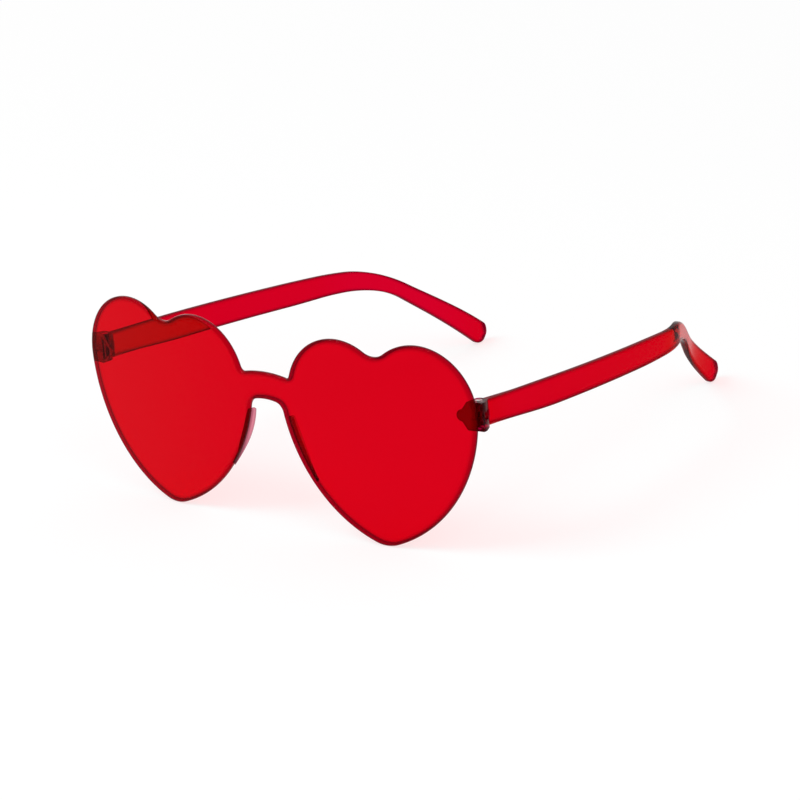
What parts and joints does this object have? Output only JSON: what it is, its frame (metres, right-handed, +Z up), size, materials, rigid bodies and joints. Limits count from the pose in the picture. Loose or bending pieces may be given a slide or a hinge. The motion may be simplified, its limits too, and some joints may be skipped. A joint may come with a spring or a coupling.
{
  "type": "heart shaped sunglasses",
  "caption": "Rimless heart-shaped sunglasses cut from one clear red curved sheet, with bonded nose fins and hinge blocks and folding clear red arms.",
  "frame": {"origin": "on the ground, centred under the bounding box of the opened sunglasses, which stand on both heart points and both arm tips", "axes": "+X to the wearer's left, -Y the way the hearts face, +Z up; the front leans back by the angle at which the sunglasses rest"},
  "size_m": [0.1466, 0.1442, 0.0581],
  "materials": {
    "lens_sheet": "clear tinted polycarbonate, polished",
    "pad_plastic": "clear tinted, polished",
    "block_plastic": "clear tinted, bonded",
    "screw_steel": "satin",
    "arm_plastic": "clear tinted, moulded"
  },
  "bodies": {
    "front": {"front_shield": "lens_sheet", "nose_pad_left": "pad_plastic", "nose_pad_right": "pad_plastic", "end_block_left": "block_plastic", "end_block_right": "block_plastic", "hinge_screw_left": "screw_steel", "hinge_screw_right": "screw_steel"},
    "temple_left": {"temple_left": "arm_plastic"},
    "temple_right": {"temple_right": "arm_plastic"}
  },
  "joints": [
    {"name": "temple_left_fold", "type": "hinge", "parent": "front", "child": "temple_left", "pos_m": [0.07, -0.0613, 0.0395], "axis": [0, 0.0671, 0.9977], "range_deg": [0, 78]},
    {"name": "temple_right_fold", "type": "hinge", "parent": "front", "child": "temple_right", "pos_m": [-0.07, -0.0613, 0.0395], "axis": [0, -0.0671, -0.9977], "range_deg": [0, 70]}
  ]
}
